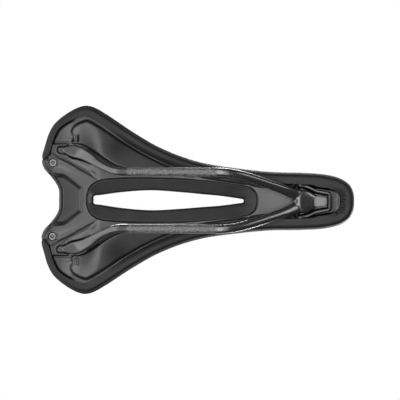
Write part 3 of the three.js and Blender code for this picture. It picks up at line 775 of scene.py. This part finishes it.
steel = grained("insert steel", (0.18, 0.18, 0.185), (0.24, 0.24, 0.245), (0.24, 0.34), 0.0004, 0.00001, Metallic=1.0)
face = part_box("insert_left")[0][2] * 1000
bore = [(BORE, face + 0.7 + 0.1 * k, 1.0) for k in range(52)]
bush = [(2.3, face - 0.05, 0), (1.95, face, 0), (1.8, face + 0.12, 0), *bore, (BORE, face + 5.9, 0),
        (0.001, face + 6.5, 0), (0.001, face + 6.9, 0), (2.6, face + 6.9, 0),
        (2.7, face + 6.7, 0), (2.7, face + 0.2, 0), (2.6, face + 0.02, 0)]
for name, side in (("insert_left", 1), ("insert_right", -1)):
    points, faces = lathed(bush, (INSERT_AT[0], INSERT_AT[1] * side))
    piece = new_piece(name.replace("insert", "threaded_bush"), points, faces, steel)
    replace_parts(piece, name)

# ---- Adhesive ----
# Black epoxy beds the blades' tips and the tongue in the shell. It is hidden behind them on the finished saddle, so
# its plain shape serves.
def carried_over(nodes, material):
    """CAD nodes whose shape is right take a procedural material."""
    for name in nodes:
        node = bpy.data.objects[name]
        node.data.materials.clear()
        node.data.materials.append(material)


carried_over(["blade_bond_left", "blade_bond_right", "nose_bond"],
             grained("cured adhesive", (0.008, 0.008, 0.008), (0.014, 0.014, 0.014), (0.3, 0.5), 0.001, 0.00005))

# ---- Nose wedge ----
# A light moulded wedge is pressed in under the tongue and locks it in its pocket. Its face is slightly domed, with
# rounded edges.
def wedge_piece():
    """Rounded sections from a middle point outwards and back: the outline is a tapering rectangle to a power, the
    face swells by a cosine, and the back is flat."""
    a = np.arange(96)[:, None] * 2 * np.pi / 96
    c, d = (np.sign(f) * np.abs(f) ** 0.42 for f in (np.cos(a), np.sin(a)))
    ring = np.array([0.001, 0.15, 0.3, 0.45, 0.6, 0.75, 0.86, 0.93, 0.97, 1, 1, 1, 0.98, 0.7, 0.001])[None, :]
    level = np.array([0, 0.02, 0.05, 0.09, 0.14, 0.2, 0.3, 0.5, 0.75, 1.1, 1.9, 2.8, 3.1, 3.2, 3.2])[None, :]
    x = 114.9 + 5.1 * ring * c
    half = 4.7 - 0.125 * (x - 109.8)
    y = half * ring * d
    z = 17.7 + level + 0.05 * np.cos(x * 1.6) * np.cos(y * 1.6) * (ring < 0.9)
    points = np.stack([x, y, z], axis=-1)
    material = grained("wedge plastic", (0.085, 0.085, 0.085), (0.11, 0.11, 0.11), (0.4, 0.5), 0.0006, 0.00004)
    faces = ring_faces(*points.shape[:2], False)[:, ::-1]
    piece = new_piece("locking_wedge", points.reshape(-1, 3), faces, material)
    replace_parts(piece, "nose_wedge")


wedge_piece()

# ---- Studio ----
# Two soft panels above light the seat. The world holds feathered soft boxes round and below the saddle, each given
# by its direction, and a dim sky above. Only a camera above the pale floor sees it, so that the saddle can be looked
# at from below as well.
def panel(name, place, aim, size, radiance):
    """A rectangular area light at a place, turned so that its light goes towards the aim. Its power is its radiance
    times pi times its area."""
    lamp = bpy.data.lights.new(name, "AREA")
    lamp.shape, lamp.size, lamp.size_y = "RECTANGLE", size[0], size[1]
    lamp.energy = radiance * math.pi * size[0] * size[1]
    light = bpy.data.objects.new(name, lamp)
    bpy.context.scene.collection.objects.link(light)
    way = np.array(aim, float) - place
    light.location = place
    lean = math.atan2(math.hypot(way[0], way[1]), -way[2])
    light.rotation_euler = (lean, 0, math.atan2(way[1], way[0]) - math.pi / 2)
    light.visible_camera = False


panel("light above", (-0.25, -0.3, 1.5), (0.02, 0, 0), (0.9, 0.9), 9)
panel("light above front", (0.55, 0.35, 1.4), (0.02, 0, 0), (0.7, 0.7), 7)


def softbox_group():
    """A feathered rectangle of light, seen in a direction given as two angles: from straight below towards the nose,
    and towards the left side. 1 inside the rectangle, 0 beyond its feather."""
    g = shader_group("softbox",
                     [(n, "Float", None) for n in ("Across", "Along", "Rear", "Front", "Low", "High", "Feather")],
                     [("Light", "Float")])
    given = g.nodes.new("NodeGroupInput").outputs
    mask = None
    for angle, edge, sign in (("Across", "Rear", "SUBTRACT"), ("Across", "Front", "ADD"),
                              ("Along", "Low", "SUBTRACT"), ("Along", "High", "ADD")):
        far = wire(g, "Math", {"operation": sign}, i0=given[edge], i1=given["Feather"]).outputs[0]
        part = wire(g, "MapRange", {"interpolation_type": "SMOOTHSTEP"}, Value=given[angle],
                    From_Min=far, From_Max=given[edge]).outputs[0]
        mask = part if mask is None else wire(g, "Math", {"operation": "MULTIPLY"}, i0=mask, i1=part).outputs[0]
    out = g.nodes.new("NodeGroupOutput")
    g.links.new(mask, out.inputs["Light"])
    return g


world = bpy.data.worlds.new("studio")
bpy.context.scene.world = world
world.use_nodes = True
tree = world.node_tree
tree.nodes.clear()
SOFTBOX = softbox_group()
way = wire(tree, "SeparateXYZ", Vector=tree.nodes.new("ShaderNodeTexCoord").outputs["Generated"])
down = wire(tree, "Math", {"operation": "MULTIPLY"}, i0=way.outputs["Z"], i1=-1.0).outputs[0]
across = wire(tree, "Math", {"operation": "ARCTAN2"}, i0=way.outputs["X"], i1=down).outputs[0]
along = wire(tree, "Math", {"operation": "ARCSINE"}, i0=way.outputs["Y"]).outputs[0]
above = wire(tree, "MapRange", {"interpolation_type": "SMOOTHSTEP"}, Value=way.outputs["Z"],
             From_Min=-0.02, From_Max=0.5, To_Min=0.05, To_Max=0.75)
light = above.outputs[0]
for rear, front, low, high, feather, level in (
    (-0.02, 0.12, -0.55, 0.55, 0.22, 7.2), (-1.0, -0.24, -0.6, 0.6, 0.3, 1.3), (-1.6, -1.05, -0.5, 0.5, 0.25, 2.6),
    (0.7, 0.86, -0.38, -0.18, 0.08, 8), (-0.5, 0.5, -1.4, -1.15, 0.2, 0.6),
):
    box = use_group(tree, SOFTBOX, Across=across, Along=along, Rear=rear, Front=front, Low=low, High=high,
                    Feather=feather)
    scaled = wire(tree, "Math", {"operation": "MULTIPLY_ADD"}, i0=box.outputs["Light"], i1=float(level), i2=light)
    light = scaled.outputs[0]
seen = wire(tree, "Background", Color=(1, 1, 1, 1), Strength=1.0)
lit = wire(tree, "Background", Color=(1, 1, 1, 1), Strength=light)
ray = tree.nodes.new("ShaderNodeLightPath")
both = wire(tree, "MixShader", Fac=ray.outputs["Is Camera Ray"])
tree.links.new(lit.outputs[0], both.inputs[1])
tree.links.new(seen.outputs[0], both.inputs[2])
end = tree.nodes.new("ShaderNodeOutputWorld")
tree.links.new(both.outputs[0], end.inputs["Surface"])

FLOOR_Z = -0.0046
FLOOR_HALF = 6
floor_mesh = bpy.data.meshes.new("floor")
floor_mesh.from_pydata([(x * FLOOR_HALF, y * FLOOR_HALF, FLOOR_Z) for x, y in ((-1, -1), (1, -1), (1, 1), (-1, 1))],
                       [], [(0, 1, 2, 3)])
floor = bpy.data.objects.new("floor", floor_mesh)
bpy.context.scene.collection.objects.link(floor)
material, tree, shader = plain_material("pale floor", Base_Color=(0.82, 0.82, 0.82, 1), Roughness=0.9)
clear = tree.nodes.new("ShaderNodeBsdfTransparent")
side = tree.nodes.new("ShaderNodeNewGeometry").outputs["Backfacing"]
mix = wire(tree, "MixShader", Fac=side)
tree.links.new(shader.outputs[0], mix.inputs[1])
tree.links.new(clear.outputs[0], mix.inputs[2])
tree.links.new(mix.outputs[0], tree.nodes["Material Output"].inputs["Surface"])
floor_mesh.materials.append(material)
floor.visible_diffuse = floor.visible_glossy = floor.visible_shadow = False
